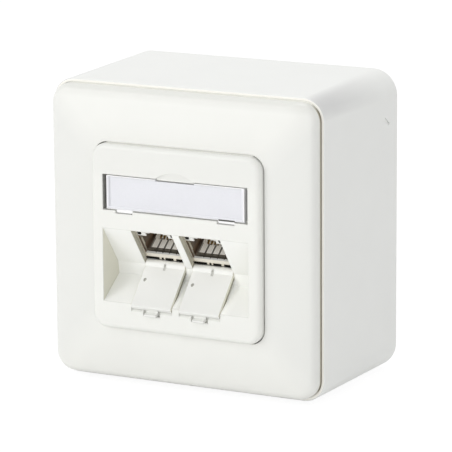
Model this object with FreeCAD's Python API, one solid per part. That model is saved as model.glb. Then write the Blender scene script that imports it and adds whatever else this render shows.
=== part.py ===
import FreeCAD, Part
import math
import os

V = FreeCAD.Vector

# A surface mount jack box for two modular sockets. The origin is the centre of the wall
# face, +X is to the right, -Y comes out of the wall and +Z is up. All sizes are in mm.

# How far a cutter, or the root of a fused piece, runs past the face that it meets
PAST = 1.0

# Two faces nearer than this count as one
SAME = 0.01

# Surface box
BOX_WIDTH = 80.0
BOX_HEIGHT = 80.8
BOX_DEPTH = 43.5
BOX_FLARE = 0.8
BOX_WALL = 2.2
BOX_FLOOR = 2.4
RIM_CORNER = 6.0
WALL_CORNER = 7.0
RIM_LAND = 0.8
RIM_ROUND = 0.35
SEAT_DEPTH = 0.8
BOSS_RADIUS = 4.2
BOSS_WEB = 2.0
WEB_SINK = 1.0
POST_RADIUS = 2.6
POST_PLACE = 31.0
WALL_HOLE_PITCH = 50.0
WALL_HOLE_RADIUS = 2.25
WALL_HOLE_COUNTERBORE = 4.2
WALL_HOLE_SEAT = 1.44
ENTRY_WIDTH = 30.0
ENTRY_HEIGHT = 15.0
ENTRY_DROP = 26.0
ENTRY_CORNER = 3.0
KNOCKOUT_WIDTH = 17.0
KNOCKOUT_HEIGHT = 13.0
KNOCKOUT_WEB = 0.9
KNOCKOUT_OFFSET = 4.0
KNOCKOUT_RISE = 15.0
TICK_LENGTH = 3.2
TICK_WIDTH = 0.6
TICK_DEPTH = 0.35
TICK_BACK = 6.2
TICK_UP = 28.3
TICK_LEAN = 35.0

# Cover frame
FRAME_GAP = 0.15
FRAME_CORNER = 5.2
FRAME_CREST = 5.2
FRAME_ARC = 59.0
FRAME_EDGE = 2.2
EDGE_STEPS = 4
ARC_STEPS = 4
FRAME_WALL = 1.8
PLATE_GAP = 0.28
COLLAR_WALL = 1.2
COLLAR_SINK = 1.0
HOOK_WIDTH = 8.0
HOOK_PLACE = 9.0
HOOK_BARB = 0.6
HOOK_RAMP = 1.6

# Centre plate with the scooped recess
PLATE_SIZE = 50.0
PLATE_CORNER = 4.0
PLATE_EDGE = 1.4
PLATE_RISE = 7.4
PLATE_WALL = 1.8
SKIRT_WALL = 1.4
SKIRT_DEPTH = 4.8
RECESS_HALF = 21.65
RECESS_TOP = 2.45
RECESS_BOTTOM = -17.65
RECESS_WALL = 1.5
FACE_TILT = 36.87
FACE_LENGTH = 13.64
STEP_BACK = 0.5
STEP_DROP = 3.3
PORT_PITCH = 14.3
WINDOW_WIDTH = 12.2
WINDOW_TOP = 0.25
BOSS_CHEEK = 1.2
HINGE_BOSS = 1.7
NOSE_ROOM = 4.0
LEG_INSET = 0.5

# Label field in the centre plate
LABEL_HALF = 21.5
LABEL_LOW = 7.25
LABEL_HIGH = 16.95
TRAY_WALL = 1.2
TRAY_DEPTH = 2.8
END_SLOT = 1.1
END_SLOT_INSET = 0.5
DISH_WIDTH = 11.0
DISH_HEIGHT = 1.75
DISH_DEPTH = 0.7
TONGUE_DROP = 0.45
NOTCH_PLACE = 15.1
NOTCH_WIDTH = 5.2
NOTCH_DEPTH = 0.7
WINDOW_SINK = 0.3
COVER_THICK = 1.0
COVER_SIDE_GAP = 1.1
COVER_TOP_GAP = 0.3
COVER_LOW_GAP = 0.2
COVER_RIB = 0.6
COVER_RIB_DEPTH = 1.2
TAB_THICK = 0.6
STRIP_THICK = 0.2
STRIP_END_GAP = 0.05
STRIP_LOW_GAP = 0.1

# Dust flaps
HINGE_DROP = 14.2
FLAP_THICK = 1.4
FLAP_ROUND = 0.3
FLAP_SIDE_GAP = 0.1
FLAP_END_GAP = 0.5
FLAP_OPEN = 100.0
KNUCKLE_RADIUS = 1.3
FLAP_PIN = 0.5
FLAP_PIN_LENGTH = 0.8
PIN_CLEARANCE = 0.04
PIN_END_GAP = 0.05
POCKET_GAP = 0.3
POCKET_RUNOUT = 6.0
LIP_WIDTH = 3.5
LIP_THICK = 0.6
LIP_REACH = 0.95
LIP_GAP = 0.25
LIP_DROP = 0.45
LIP_ROOT = 1.5
LIP_POCKET_SIDE = 0.8
MARK_WIDTH = 0.7
MARK_DEPTH = 0.1
MARK_START = 0.2
MARK_END = 1.9
DIMPLE_RADIUS = 0.4
DIMPLE_DEPTH = 0.3
DIMPLE_SIDE = 1.5
DIMPLE_UP = 5.2

# Support frame, module carrier and screws
RING_ROOM = 2.3
COLLAR_ROOM = 0.52
RING_THICK = 1.2
RING_SINK = 2.0
RING_CHAMFER = 6.0
RING_CORNER = 3.0
SCREW_PITCH = 60.0
SCREW_SLOT_WIDTH = 3.6
SCREW_SLOT_LENGTH = 7.0
LUG_TIP = 16.1
LUG_HALF = 4.0
LOW_LUG_IN = 16.0
LOW_LUG_OUT = 21.0
LOW_LUG_RISE = 4.2
PLATE_SCREW_X = 18.8
PLATE_SCREW_Z = 12.05
PLATE_SCREW_RADIUS = 1.25
PLATE_HEAD_RADIUS = 2.3
PLATE_HEAD_DEPTH = 1.2
PLATE_POST = 2.6
PLATE_SLOT_DEPTH = 0.7
SCREW_CLEARANCE = 0.2
CROSS_REACH = 0.55
CROSS_WIDTH = 0.13
BOX_SCREW_RADIUS = 1.6
BOX_HEAD_RADIUS = 3.1
BOX_HEAD_THICK = 2.2
BOX_SCREW_LENGTH = 16.0
BOX_HEAD_ROUND = 1.32
BOX_SLOT_DEPTH = 1.2
CARRIER_WALL = 2.0
CHEEK_IN = 14.6
CHEEK_THICK = 1.2
FLANGE_ROOM = 3.8
LOW_FLANGE_Z = -13.0
FLANGE_HALF = 4.0
EAR_EDGE = 1.0
CARRIER_SCREW_X = 30.5
CARRIER_SCREW_RADIUS = 1.25
CARRIER_HEAD_RADIUS = 2.2
CARRIER_HEAD_THICK = 1.2
CARRIER_SLOT_DEPTH = 0.7
CARRIER_TOP = 10.5
CARRIER_BOTTOM = 11.0

# Socket module, measured along and across its own axis
JACK_INSET = 1.65
JACK_DROP = 7.05
NOSE_WIDTH = 12.8
NOSE_HEIGHT = 12.0
NOSE_LENGTH = 5.4
NOSE_WALL = 0.5
NOSE_ROUND = 0.4
BODY_WIDTH = 14.0
BODY_HEIGHT = 15.6
BODY_WALL = 0.9
STOP_START = 6.0
STOP_THICK = 1.0
STOP_HEIGHT = 18.0
CATCH_HALF = 3.0
CATCH_RISE = 0.7
CATCH_ROOT = 0.2
CATCH_LENGTH = 2.5
BODY_LENGTH = 26.0
JACK_FIT = 0.1
CAVITY_TOP = 3.1
CAVITY_FLOOR = -3.75
CAVITY_BACK = 2.4
INSERT_SET_BACK = 0.15
NOTCH_END = 2.0
WIDE_NOTCH = 6.6
WIDE_NOTCH_TOP = 4.3
LATCH_NOTCH = 4.0
LATCH_NOTCH_TOP = 5.0
EYE_WIDTH = 0.9
EYE_HEIGHT = 1.2
EYE_PLACE = 5.0
EYE_RISE = 4.3
EYE_DEPTH = 3.0
CONTACTS = 8
CONTACT_PITCH = 1.016
CONTACT_WIDTH = 0.45
CONTACT_THICK = 0.35
CONTACT_FLOAT = 0.05
CONTACT_NOSE = 5.6
CONTACT_BEND = 0.9
CONTACT_RISE = 1.3
CONTACT_TOP = 0.5
CONTACT_FLAT = 2.4
CONTACT_ENTRY = 0.2
GROOVE_WIDTH = 0.62
GROOVE_DEPTH = 1.2
GROOVE_START = 5.0
COMB_START = 1.6
COMB_LINE = 0.32
COMB_LINE_DEPTH = 0.8
COMB_BACK = 1.2
COMB_TOP = 2.2
SHELF_TOP = -3.95
SHELF_DEPTH = 0.8
TRENCH_FLOOR = -4.9
TRENCH_HALF = 4.3
BOARD_GAP = 1.0
BOARD_THICK = 1.0
BLOCK_LENGTH = 7.0
BLOCK_SINK = 1.6
BLADE_THICK = 0.4
BLADE_WIDTH = 2.2
BLADE_STAND = 2.0
BLADE_MOUTH = 3.0
BLADE_LEAD = 0.6
BLADE_SLOT = 0.5
BLADE_PITCH = 2.8
BLADE_ROW = 3.6
CAP_LENGTH = 8.5
CAP_WALL = 1.4
CAP_ROUND = 1.2
ARM_THICK = 0.9
ARM_LENGTH = 3.3
ARM_HALF = 1.8
ARM_BARB = 0.6
ARM_STEP = 1.2
ARM_ROOT = 2.0
CABLE_SLOT_WIDTH = 10.0
CABLE_SLOT_HEIGHT = 6.6
SPRING_THICK = 0.2
SPRING_WIDTH = 3.0
SPRING_BULGE = 0.35
SPRING_START = 0.3
SPRING_FLAT = 0.7
SPRING_CREST = 4.0
SPRING_FOOT = 1.0
SPRING_STOP = 3.0

TILT = math.radians(FACE_TILT)
ALONG = V(0, math.cos(TILT), math.sin(TILT))
DOWN = V(0, math.sin(TILT), -math.cos(TILT))


def ahead(height):
    """The Y of a plane that stands this far in front of the box's rim."""
    return -BOX_DEPTH - height


def block(x0, x1, y0, y1, z0, z1):
    """A plain block between two corners."""
    return Part.makeBox(x1 - x0, y1 - y0, z1 - z0, V(x0, y0, z0))


def rod(radius, start, end):
    """A round bar from one point to another."""
    line = end.sub(start)
    return Part.makeCylinder(radius, line.Length, start, line)


def rounded_wire(width, height, radius, y, middle=0.0):
    """A rounded rectangle in the plane Y = y, centred on X = 0."""
    a = width / 2 - radius
    b = height / 2 - radius
    edges = []
    for turn, (cx, cz) in enumerate(((a, b), (-a, b), (-a, -b), (a, -b))):
        first = math.radians(90 * turn)
        centre = V(cx, y, middle + cz)
        spots = []
        for step in range(3):
            angle = first + step * math.pi / 4
            spots.append(centre + V(radius * math.cos(angle), 0, radius * math.sin(angle)))
        edges.append(Part.Arc(*spots).toShape())
    outline = []
    for index, arc in enumerate(edges):
        following = edges[(index + 1) % 4]
        outline.append(arc)
        outline.append(Part.makeLine(arc.Vertexes[-1].Point, following.Vertexes[0].Point))
    return Part.Wire(outline)


def rounded_block(width, height, radius, y0, y1, middle=0.0):
    """A block with four rounded edges along Y."""
    face = Part.Face(rounded_wire(width, height, radius, y0, middle))
    return face.extrude(V(0, y1 - y0, 0))


def side_profile(points, x0, x1):
    """A prism along X with a straight-sided outline of (y, z) points."""
    spots = [V(x0, y, z) for y, z in points]
    face = Part.Face(Part.makePolygon(spots + spots[:1]))
    return face.extrude(V(x1 - x0, 0, 0))


def top_profile(points, z0, z1):
    """A prism along Z with a straight-sided outline of (x, y) points."""
    spots = [V(x, y, z0) for x, y in points]
    face = Part.Face(Part.makePolygon(spots + spots[:1]))
    return face.extrude(V(0, 0, z1 - z0))


def softened(shape, radius, wanted):
    """Round the edges that pass a test."""
    edges = [edge for edge in shape.Edges if wanted(edge)]
    return shape.makeFillet(radius, edges)


def offset_line(points, distance):
    """The outline moved sideways, to the right of its direction, with mitred corners."""
    rights = []
    for (y0, z0), (y1, z1) in zip(points, points[1:]):
        length = math.hypot(y1 - y0, z1 - z0)
        rights.append(((z1 - z0) / length, -(y1 - y0) / length))
    moved = []
    for index, (y, z) in enumerate(points):
        before = rights[max(index - 1, 0)]
        after = rights[min(index, len(rights) - 1)]
        bend = 1 + before[0] * after[0] + before[1] * after[1]
        shift_y = distance * (before[0] + after[0]) / bend
        shift_z = distance * (before[1] + after[1]) / bend
        moved.append((y + shift_y, z + shift_z))
    return moved


def strip(points, thickness, x0, x1):
    """A bent strip of even thickness that follows the (y, z) points."""
    one = offset_line(points, thickness / 2)
    other = offset_line(points, -thickness / 2)
    return side_profile(one + other[::-1], x0, x1)


# Places worked out from the sizes
FACE_TOP = V(0, ahead(PLATE_RISE), RECESS_TOP)
FACE_FOOT = FACE_TOP + DOWN * FACE_LENGTH
JACK_ORIGIN = FACE_TOP + DOWN * JACK_DROP + ALONG * JACK_INSET
HINGE = FACE_TOP + DOWN * HINGE_DROP + ALONG * (FLAP_THICK / 2)
PORTS = {"left": -PORT_PITCH / 2, "right": PORT_PITCH / 2}
FRAME_SIZE = BOX_WIDTH - 2 * (RIM_LAND + FRAME_GAP)
FRAME_TALL = BOX_HEIGHT - 2 * (RIM_LAND + FRAME_GAP)
RING_WIDTH = BOX_WIDTH - 2 * (BOX_WALL + RING_ROOM)
RING_TALL = BOX_HEIGHT - 2 * (BOX_WALL + RING_ROOM)
RING_OPENING = PLATE_SIZE + 2 * (PLATE_GAP + COLLAR_WALL + COLLAR_ROOM)
FLANGE_OUT = BOX_WIDTH / 2 - BOX_WALL - FLANGE_ROOM
RING_FRONT = ahead(-RING_SINK)
RING_BACK = RING_FRONT + RING_THICK
TRAY_FLOOR = ahead(PLATE_RISE - TRAY_DEPTH)
TRAY_BACK = TRAY_FLOOR + TRAY_WALL
COVER_FRONT = ahead(PLATE_RISE - WINDOW_SINK)
COVER_BACK = COVER_FRONT + COVER_THICK
COVER_LOW = LABEL_LOW + COVER_LOW_GAP
COVER_HIGH = LABEL_HIGH - COVER_TOP_GAP
COVER_HALF = LABEL_HALF - COVER_SIDE_GAP
COVER_AXIS = V(0, COVER_FRONT + COVER_THICK / 2, COVER_LOW + COVER_THICK / 2)
BLOCK_END = BODY_LENGTH - BLOCK_SINK
BLOCK_START = BLOCK_END - BLOCK_LENGTH
BOARD_START = BLOCK_START - BOARD_THICK
INSERT_LENGTH = BOARD_START - BOARD_GAP
CAVITY_DEPTH = INSERT_LENGTH - CAVITY_BACK
CONTACT_END = CAVITY_DEPTH + CONTACT_ENTRY
SPRING_END = CAVITY_DEPTH - SPRING_STOP


def on_face(shape, centre_x):
    """Move a shape from the port face's own frame, whose origin is the face's top edge."""
    placed = shape.copy()
    placed.rotate(V(0, 0, 0), V(1, 0, 0), FACE_TILT)
    placed.translate(V(centre_x, FACE_TOP.y, FACE_TOP.z))
    return placed


def in_jack(shape, centre_x):
    """Move a shape from the socket's own frame, with +Y along its axis, to its port."""
    placed = shape.copy()
    placed.rotate(V(0, 0, 0), V(1, 0, 0), FACE_TILT)
    placed.translate(V(centre_x, JACK_ORIGIN.y, JACK_ORIGIN.z))
    return placed


def box_section(y, inset, corner_loss):
    """The box's outline at a depth, moved in by an even amount."""
    share = 1 + y / BOX_DEPTH
    width = BOX_WIDTH + 2 * BOX_FLARE * share - 2 * inset
    height = BOX_HEIGHT + 2 * BOX_FLARE * share - 2 * inset
    corner = RIM_CORNER + (WALL_CORNER - RIM_CORNER) * share - corner_loss
    return rounded_wire(width, height, corner, y)


def box_prism(y0, y1, inset):
    """A tapered solid between two depths of the box."""
    corner_loss = min(inset, RIM_CORNER - PAST)
    sections = [box_section(y0, inset, corner_loss), box_section(y1, inset, corner_loss)]
    return Part.makeLoft(sections, True, True)


def make_surface_box():
    """The moulded box with its screw bosses, posts, cable entry and thin knockouts."""
    body = box_prism(-BOX_DEPTH, 0, 0)
    body = softened(body, RIM_ROUND, lambda e: e.BoundBox.YMax < -BOX_DEPTH + SAME)
    hollow = box_prism(-BOX_DEPTH - PAST, -BOX_FLOOR, BOX_WALL)
    body = body.cut(hollow)
    seat = rounded_block(BOX_WIDTH - 2 * RIM_LAND, BOX_HEIGHT - 2 * RIM_LAND,
                         RIM_CORNER - RIM_LAND, ahead(PAST), ahead(-SEAT_DEPTH))
    body = body.cut(seat)
    half = SCREW_PITCH / 2
    side = BOX_WIDTH / 2 - BOX_WALL / 2
    for turn in (-1, 1):
        boss = rod(BOSS_RADIUS, V(turn * half, RING_BACK, 0), V(turn * half, -BOX_FLOOR / 2, 0))
        web_ends = sorted((turn * half, turn * side))
        web = block(web_ends[0], web_ends[1], RING_BACK + WEB_SINK, -BOX_FLOOR / 2,
                    -BOSS_WEB / 2, BOSS_WEB / 2)
        body = body.fuse([boss, web])
        for level in (-1, 1):
            foot = V(turn * POST_PLACE, -BOX_FLOOR / 2, level * POST_PLACE)
            head = V(turn * POST_PLACE, RING_BACK, level * POST_PLACE)
            body = body.fuse(rod(POST_RADIUS, head, foot))
    cuts = []
    pilot = BOX_SCREW_RADIUS
    screw_end = RING_BACK + BOX_SCREW_LENGTH
    pitch = WALL_HOLE_PITCH / 2
    for turn in (-1, 1):
        cuts.append(rod(pilot, V(turn * half, RING_BACK - PAST, 0), V(turn * half, screw_end, 0)))
        for level in (-1, 1):
            mouth = V(turn * pitch, -BOX_FLOOR - PAST, level * pitch)
            cuts.append(rod(WALL_HOLE_RADIUS, mouth, V(turn * pitch, PAST, level * pitch)))
            sink = V(turn * pitch, -WALL_HOLE_SEAT, level * pitch)
            cuts.append(rod(WALL_HOLE_COUNTERBORE, mouth, sink))
    cuts.append(rounded_block(ENTRY_WIDTH, ENTRY_HEIGHT, ENTRY_CORNER,
                              -BOX_FLOOR - PAST, PAST, -ENTRY_DROP))
    cuts.extend(knockout_pockets())
    body = body.cut(cuts)
    body = body.cut(tick_mark())
    return body.removeSplitter()


def knockout_pockets():
    """Pockets inside the four walls that leave thin webs to break out for a cable."""
    near = -BOX_FLOOR - KNOCKOUT_OFFSET - KNOCKOUT_HEIGHT
    far = -BOX_FLOOR - KNOCKOUT_OFFSET
    half = KNOCKOUT_WIDTH / 2
    web_x = BOX_WIDTH / 2 - KNOCKOUT_WEB + BOX_FLARE / 2
    web_z = BOX_HEIGHT / 2 - KNOCKOUT_WEB + BOX_FLARE / 2
    low_x = BOX_WIDTH / 2 - BOX_WALL - PAST
    low_z = BOX_HEIGHT / 2 - BOX_WALL - PAST
    pockets = []
    for level in (-1, 1):
        ends = sorted((level * low_z, level * web_z))
        pockets.append(block(-half, half, near, far, ends[0], ends[1]))
        sides = sorted((level * low_x, level * web_x))
        pockets.append(block(sides[0], sides[1], near, far,
                             KNOCKOUT_RISE - half, KNOCKOUT_RISE + half))
    return pockets


def tick_mark():
    """A short slanted mark moulded into the right side near the wall."""
    groove = block(-TICK_DEPTH, PAST, -TICK_LENGTH / 2, TICK_LENGTH / 2,
                   -TICK_WIDTH / 2, TICK_WIDTH / 2)
    groove.rotate(V(0, 0, 0), V(1, 0, 0), -TICK_LEAN)
    side = BOX_WIDTH / 2 + BOX_FLARE * (1 - TICK_BACK / BOX_DEPTH)
    groove.translate(V(side, -TICK_BACK, TICK_UP))
    return groove


def pillow(width, height, corner, crest, back, edge):
    """A low domed block: rounded squares that shrink along a gently arched profile."""
    reach = (width - PLATE_SIZE) / 2
    hub = crest - FRAME_ARC
    centre = hub + math.sqrt((FRAME_ARC - edge) ** 2 - (reach - edge) ** 2)
    lean = math.asin((reach - edge) / (FRAME_ARC - edge))
    profile = []
    for step in range(EDGE_STEPS):
        angle = math.pi / 2 + (lean - math.pi / 2) * step / EDGE_STEPS
        profile.append((edge - edge * math.sin(angle), centre + edge * math.cos(angle)))
    for step in range(ARC_STEPS + 1):
        angle = lean * (1 - step / ARC_STEPS)
        profile.append((reach - FRAME_ARC * math.sin(angle), hub + FRAME_ARC * math.cos(angle)))
    sections = []
    for inset, rise in profile:
        share = inset / reach
        radius = corner + (PLATE_CORNER - corner) * share
        sections.append(rounded_wire(width - 2 * inset, height - 2 * inset, radius, ahead(rise)))
    dome = Part.makeLoft(sections, True, False)
    base = rounded_block(width, height, corner, ahead(centre), back)
    return base.fuse(dome)


def make_cover_frame():
    """The domed square frame that covers the rim, with a collar round the centre plate."""
    back = ahead(-SEAT_DEPTH)
    body = pillow(FRAME_SIZE, FRAME_TALL, FRAME_CORNER, FRAME_CREST, back, FRAME_EDGE)
    thin = 2 * FRAME_WALL
    hollow = pillow(FRAME_SIZE - thin, FRAME_TALL - thin, FRAME_CORNER - FRAME_WALL,
                    FRAME_CREST - FRAME_WALL, back + PAST, FRAME_EDGE - FRAME_WALL)
    body = body.cut(hollow)
    opening = PLATE_SIZE + 2 * PLATE_GAP
    corner = PLATE_CORNER + PLATE_GAP
    collar_back = RING_FRONT - PLATE_GAP
    outer = opening + 2 * COLLAR_WALL
    collar = rounded_block(outer, outer, corner + COLLAR_WALL,
                           ahead(FRAME_CREST - COLLAR_SINK), collar_back)
    body = body.fuse(collar)
    hook_low = opening / 2
    hook_high = hook_low + COLLAR_WALL
    barb = RING_OPENING / 2 + HOOK_BARB
    latch = RING_BACK + PLATE_GAP / 2
    hook_outline = [
        (collar_back - PAST, hook_low), (latch + HOOK_RAMP, hook_low), (latch + HOOK_RAMP, hook_high),
        (latch, barb), (latch, hook_high), (collar_back - PAST, hook_high),
    ]
    hooks = []
    for turn in (-1, 1):
        centre = turn * HOOK_PLACE
        for level in (-1, 1):
            outline = [(y, level * z) for y, z in hook_outline]
            hooks.append(side_profile(outline, centre - HOOK_WIDTH / 2, centre + HOOK_WIDTH / 2))
    body = body.fuse(hooks)
    body = body.cut(rounded_block(opening, opening, corner, ahead(FRAME_CREST + PAST), RING_BACK))
    return body.removeSplitter()


def recess_points():
    """The side outline of the scoop, from its top edge down to its bottom edge."""
    top = (FACE_TOP.y, FACE_TOP.z)
    foot = (FACE_FOOT.y, FACE_FOOT.z)
    step = (FACE_FOOT.y + STEP_BACK, FACE_FOOT.z - STEP_DROP)
    front = (ahead(PLATE_RISE), RECESS_BOTTOM)
    return [top, foot, step, front]


def flap_frame(shape):
    """Turn a shape from the closed flap's place to the open one, about the hinge."""
    placed = shape.copy()
    placed.rotate(HINGE, V(1, 0, 0), FLAP_OPEN)
    return placed


def pocket_cut(centre_x):
    """The room that the open flap and its lip need in the plate."""
    half = WINDOW_WIDTH / 2
    reach = HINGE_DROP + POCKET_RUNOUT
    under = FLAP_THICK / 2 + POCKET_GAP
    slab = block(-half, half, -under, 2 * FLAP_THICK, 0, reach)
    slab.rotate(V(0, 0, 0), V(1, 0, 0), FACE_TILT)
    slab.translate(V(centre_x, HINGE.y, HINGE.z))
    lip_half = LIP_WIDTH / 2 + LIP_POCKET_SIDE
    lip = lip_solid(centre_x, lip_half, POCKET_GAP)
    knuckle = KNUCKLE_RADIUS + POCKET_GAP
    turning = rod(knuckle, HINGE + V(centre_x - half, 0, 0), HINGE + V(centre_x + half, 0, 0))
    return [flap_frame(slab), flap_frame(lip), turning]


def pocket_wall(centre_x):
    """The plate's wall under and beside the open flap."""
    half = WINDOW_WIDTH / 2 + BOSS_CHEEK
    under = FLAP_THICK / 2 + POCKET_GAP + BOSS_CHEEK
    slab = block(-half, half, -under, 0, -KNUCKLE_RADIUS, HINGE_DROP + POCKET_RUNOUT)
    slab.rotate(V(0, 0, 0), V(1, 0, 0), FACE_TILT)
    slab.translate(V(centre_x, HINGE.y, HINGE.z))
    lip_half = LIP_WIDTH / 2 + LIP_POCKET_SIDE + BOSS_CHEEK
    lip = lip_solid(centre_x, lip_half, POCKET_GAP + BOSS_CHEEK)
    return [flap_frame(slab), flap_frame(lip)]


def make_centre_plate():
    """The scooped plate with two port windows, flap pockets and the label tray."""
    front = ahead(PLATE_RISE)
    skirt = front + SKIRT_DEPTH
    body = rounded_block(PLATE_SIZE, PLATE_SIZE, PLATE_CORNER, front, skirt)
    body = softened(body, PLATE_EDGE, lambda e: e.BoundBox.YMax < front + SAME)
    inner = PLATE_SIZE - 2 * SKIRT_WALL
    hollow = rounded_block(inner, inner, PLATE_CORNER - SKIRT_WALL, front + PLATE_WALL, skirt + PAST)
    body = body.cut(hollow)
    line = recess_points()
    walls = offset_line(line, -RECESS_WALL)
    shell = side_profile([(front, walls[0][1])] + walls + [(front, walls[-1][1])],
                         -RECESS_HALF - RECESS_WALL, RECESS_HALF + RECESS_WALL)
    added = [shell]
    half = WINDOW_WIDTH / 2
    for centre in PORTS.values():
        added.extend(pocket_wall(centre))
        for turn in (-1, 1):
            start = HINGE + V(centre + turn * half, 0, 0)
            added.append(rod(HINGE_BOSS, start, start + V(turn * BOSS_CHEEK, 0, 0)))
    added.append(block(-LABEL_HALF - TRAY_WALL, LABEL_HALF + TRAY_WALL, front, TRAY_BACK,
                       LABEL_LOW - TRAY_WALL, LABEL_HIGH + TRAY_WALL))
    for turn in (-1, 1):
        head = V(turn * PLATE_SCREW_X, TRAY_FLOOR, PLATE_SCREW_Z)
        added.append(rod(PLATE_POST, head, V(turn * PLATE_SCREW_X, RING_FRONT, PLATE_SCREW_Z)))
        leg = sorted((turn * LOW_LUG_IN, turn * LOW_LUG_OUT))
        low = -PLATE_SIZE / 2
        added.append(block(leg[0] + LEG_INSET, leg[1] - LEG_INSET, skirt - PAST, RING_FRONT,
                           low, low + SKIRT_WALL))
    body = body.fuse(added)
    body = body.common(block(-PLATE_SIZE, PLATE_SIZE, front, 0, -PLATE_SIZE, PLATE_SIZE))
    body = body.cut(plate_cuts(front, line))
    return body.removeSplitter()


def plate_cuts(front, line):
    """All that is cut out of the centre plate."""
    mouth = [(front - PAST, line[0][1])] + line + [(front - PAST, line[-1][1])]
    cuts = [side_profile(mouth, -RECESS_HALF, RECESS_HALF)]
    half = WINDOW_WIDTH / 2
    room = NOSE_WIDTH / 2 + JACK_FIT
    nose_top = JACK_DROP - NOSE_HEIGHT / 2 - JACK_FIT
    nose_low = JACK_DROP + NOSE_HEIGHT / 2 + JACK_FIT
    pin_reach = FLAP_PIN_LENGTH - FLAP_SIDE_GAP + PIN_END_GAP
    for centre in PORTS.values():
        window = block(-half, half, -PAST, 2 * RECESS_WALL, -HINGE_DROP, -WINDOW_TOP)
        cuts.append(on_face(window, centre))
        behind = block(-room, room, RECESS_WALL, NOSE_LENGTH + NOSE_ROOM, -nose_low, -nose_top)
        cuts.append(on_face(behind, centre))
        cuts.extend(pocket_cut(centre))
        start = HINGE + V(centre - half - pin_reach, 0, 0)
        cuts.append(rod(FLAP_PIN + PIN_CLEARANCE, start, HINGE + V(centre + half + pin_reach, 0, 0)))
    cuts.append(block(-LABEL_HALF, LABEL_HALF, front - PAST, TRAY_FLOOR, LABEL_LOW, LABEL_HIGH))
    notch_back = COVER_AXIS.y + COVER_AXIS.z - LABEL_LOW + NOTCH_DEPTH + TAB_THICK
    for turn in (-1, 1):
        ends = sorted((turn * LABEL_HALF, turn * (LABEL_HALF - END_SLOT)))
        cuts.append(block(ends[0], ends[1], TRAY_FLOOR - PAST, TRAY_BACK + PAST,
                          LABEL_LOW + END_SLOT_INSET, LABEL_HIGH - END_SLOT_INSET))
        spot = turn * NOTCH_PLACE
        cuts.append(block(spot - NOTCH_WIDTH / 2, spot + NOTCH_WIDTH / 2, front - PAST, notch_back,
                          LABEL_LOW - NOTCH_DEPTH, LABEL_LOW + PAST))
        centre = V(turn * PLATE_SCREW_X, TRAY_FLOOR, PLATE_SCREW_Z)
        hole = PLATE_SCREW_RADIUS + SCREW_CLEARANCE
        cuts.append(rod(hole, centre, V(centre.x, RING_BACK, centre.z)))
        cuts.append(Part.makeCone(PLATE_HEAD_RADIUS + SCREW_CLEARANCE, hole, PLATE_HEAD_DEPTH,
                                  centre, V(0, 1, 0)))
    tongue = block(-DISH_WIDTH / 2, DISH_WIDTH / 2, front + DISH_DEPTH, front + PLATE_WALL,
                   LABEL_HIGH - TONGUE_DROP, LABEL_HIGH)
    cuts.append(finger_dish(front))
    return [shape.cut(tongue) for shape in cuts]


def finger_dish(front):
    """A half-moon that slopes in towards the label's upper edge."""
    half = DISH_WIDTH / 2
    radius = (half ** 2 + DISH_HEIGHT ** 2) / (2 * DISH_HEIGHT)
    centre_z = LABEL_HIGH + DISH_HEIGHT - radius
    disc = rod(radius, V(0, front - PAST, centre_z), V(0, front + DISH_DEPTH, centre_z))
    slope = [
        (front - PAST, LABEL_HIGH), (front + DISH_DEPTH, LABEL_HIGH),
        (front, LABEL_HIGH + DISH_HEIGHT), (front - PAST, LABEL_HIGH + DISH_HEIGHT),
    ]
    return disc.common(side_profile(slope, -half, half))


def lip_solid(centre_x, half, grow):
    """The finger lip of a closed flap, which lies in front of the plate above its port."""
    front = ahead(PLATE_RISE)
    end = FLAP_END_GAP
    inside = ALONG * (FLAP_THICK / 3)
    root = FACE_TOP + DOWN * (end + LIP_ROOT) + inside
    heart = FACE_TOP + DOWN * (end + FLAP_THICK / 3) + inside
    corner = FACE_TOP + DOWN * (end + FLAP_ROUND / 2)
    low = RECESS_TOP - LIP_DROP
    high = RECESS_TOP + LIP_REACH + grow
    inner = front - LIP_GAP + 2 * grow
    outer = front - LIP_GAP - LIP_THICK - grow
    outline = [
        (root.y, root.z), (heart.y, heart.z), (corner.y, corner.z), (inner, low),
        (inner, high), (outer, high), (outer, low - LIP_THICK / 2 - grow),
    ]
    if grow > 0:
        del outline[1:4]
    return side_profile(outline, centre_x - half, centre_x + half)


def make_flap(centre_x):
    """A dust flap, modelled closed in its port and then turned open about its pins."""
    half = WINDOW_WIDTH / 2 - FLAP_SIDE_GAP
    length = HINGE_DROP - FLAP_END_GAP
    leaf = block(-half, half, -FLAP_THICK / 2, FLAP_THICK / 2, 0, length)
    leaf = softened(leaf, FLAP_ROUND, lambda e: e.BoundBox.ZMin > length - SAME)
    knuckle = rod(KNUCKLE_RADIUS, V(-half, 0, 0), V(half, 0, 0))
    pin_half = half + FLAP_PIN_LENGTH
    pins = rod(FLAP_PIN, V(-pin_half, 0, 0), V(pin_half, 0, 0))
    leaf = leaf.fuse([knuckle, pins])
    inner = FLAP_THICK / 2
    mark = block(-MARK_WIDTH / 2, MARK_WIDTH / 2, inner - MARK_DEPTH, KNUCKLE_RADIUS + PAST,
                 MARK_START, MARK_END)
    spot = V(DIMPLE_SIDE - half, inner - DIMPLE_DEPTH, DIMPLE_UP)
    leaf = leaf.cut([mark, rod(DIMPLE_RADIUS, spot, spot + V(0, PAST, 0))])
    leaf.rotate(V(0, 0, 0), V(1, 0, 0), FACE_TILT)
    leaf.translate(HINGE + V(centre_x, 0, 0))
    leaf = leaf.fuse(lip_solid(centre_x, LIP_WIDTH / 2, 0))
    return flap_frame(leaf.removeSplitter())


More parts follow.
